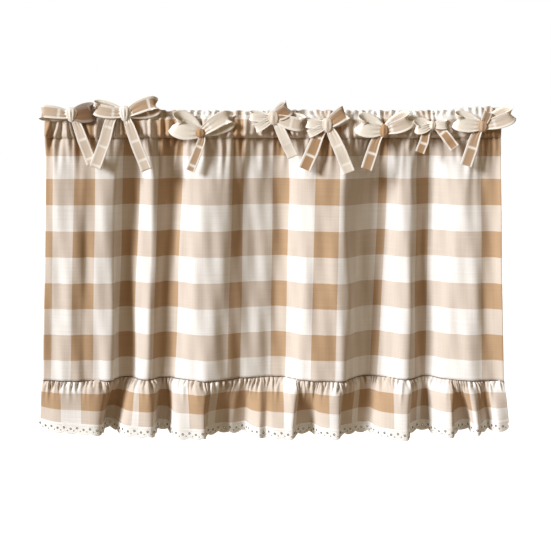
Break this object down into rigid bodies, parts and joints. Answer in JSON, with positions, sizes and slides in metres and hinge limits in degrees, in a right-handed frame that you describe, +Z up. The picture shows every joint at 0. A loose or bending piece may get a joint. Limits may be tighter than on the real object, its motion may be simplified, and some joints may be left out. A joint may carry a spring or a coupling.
{
  "type": "gathered tier curtain",
  "caption": "Short gathered cafe curtain of buffalo check with a rod-pocket heading, tied bows, a gathered ruffle and scalloped eyelet lace hem.",
  "frame": {"origin": "middle of the heading's top edge, where the curtain hangs from", "axes": "+X along the width, to the right as seen from the front, -Y out of the front, +Z up"},
  "size_m": [0.9256, 0.065, 0.6686],
  "materials": {
    "check_cloth": "woven tan and cream buffalo check cotton",
    "heading_cloth": "the panel's check, gathered and stitched",
    "ruffle_cloth": "the panel's check, gathered at its seam",
    "lace": "white cotton eyelet lace",
    "tie_cloth": "check ribbon with cream stitched edges"
  },
  "bodies": {
    "root": {"curtain_panel": "check_cloth", "heading": "heading_cloth", "ruffle": "ruffle_cloth", "lace_trim": "lace", "bow_1": "tie_cloth", "bow_2": "tie_cloth", "bow_3": "tie_cloth", "bow_4": "tie_cloth", "bow_5": "tie_cloth", "bow_6": "tie_cloth", "bow_7": "tie_cloth", "bow_8": "tie_cloth"}
  },
  "joints": []
}
